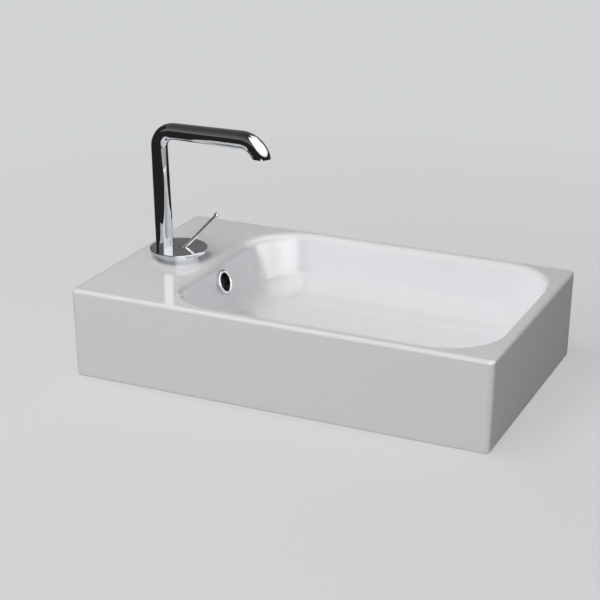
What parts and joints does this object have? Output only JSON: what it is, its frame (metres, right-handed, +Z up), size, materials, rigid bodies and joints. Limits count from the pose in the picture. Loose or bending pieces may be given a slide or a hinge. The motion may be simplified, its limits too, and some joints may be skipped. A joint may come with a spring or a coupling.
{
  "type": "countertop basin with tap",
  "caption": "Compact rectangular glazed china countertop basin with an offset bowl, a flat tap deck at one end, a tall joystick mixer tap, an overflow and a click-plug waste.",
  "frame": {"origin": "middle of the underside, where the basin stands on the worktop", "axes": "+X along the basin from the tap deck to the far end, -Y the front, +Z up"},
  "size_m": [0.5, 0.3, 0.2685],
  "materials": {
    "glazed_china": "gloss glaze",
    "chrome": "polished plating",
    "seal_rubber": "moulded",
    "brass": "turned",
    "steel": "stamped",
    "moulded_plastic": "moulded"
  },
  "bodies": {
    "basin": {"basin_body": "glazed_china", "overflow_ring": "chrome", "waste_body": "chrome", "tap_base": "chrome", "spout": "chrome", "waste_flange_seal": "seal_rubber", "waste_lower_washer": "seal_rubber", "tap_base_seal": "seal_rubber", "shank_rubber_washer": "seal_rubber", "waste_back_nut": "brass", "tap_shank": "brass", "shank_nut": "brass", "shank_steel_washer": "steel", "plug_guide": "moulded_plastic", "tap_cartridge": "moulded_plastic", "aerator_housing": "chrome", "aerator_screen": "moulded_plastic"},
    "turret": {"lever_turret": "chrome", "lever_pin": "steel"},
    "lever": {"lever_rod": "chrome", "lever_knob": "chrome"},
    "plug": {"plug_cap": "chrome", "plug_stem": "brass", "plug_seal": "seal_rubber"}
  },
  "joints": [
    {"name": "lever_turn", "type": "hinge", "parent": "basin", "child": "turret", "pos_m": [-0.1895, 0, 0.117], "axis": [0, 0, 1], "range_deg": [-78, 12]},
    {"name": "lever_lift", "type": "hinge", "parent": "turret", "child": "lever", "pos_m": [-0.1895, 0, 0.112], "axis": [0.5505, -0.8348, 0], "range_deg": [0, 25]},
    {"name": "plug_slide", "type": "slide", "parent": "basin", "child": "plug", "axis": [0, 0, 1], "range_m": [0, 0.006]}
  ]
}
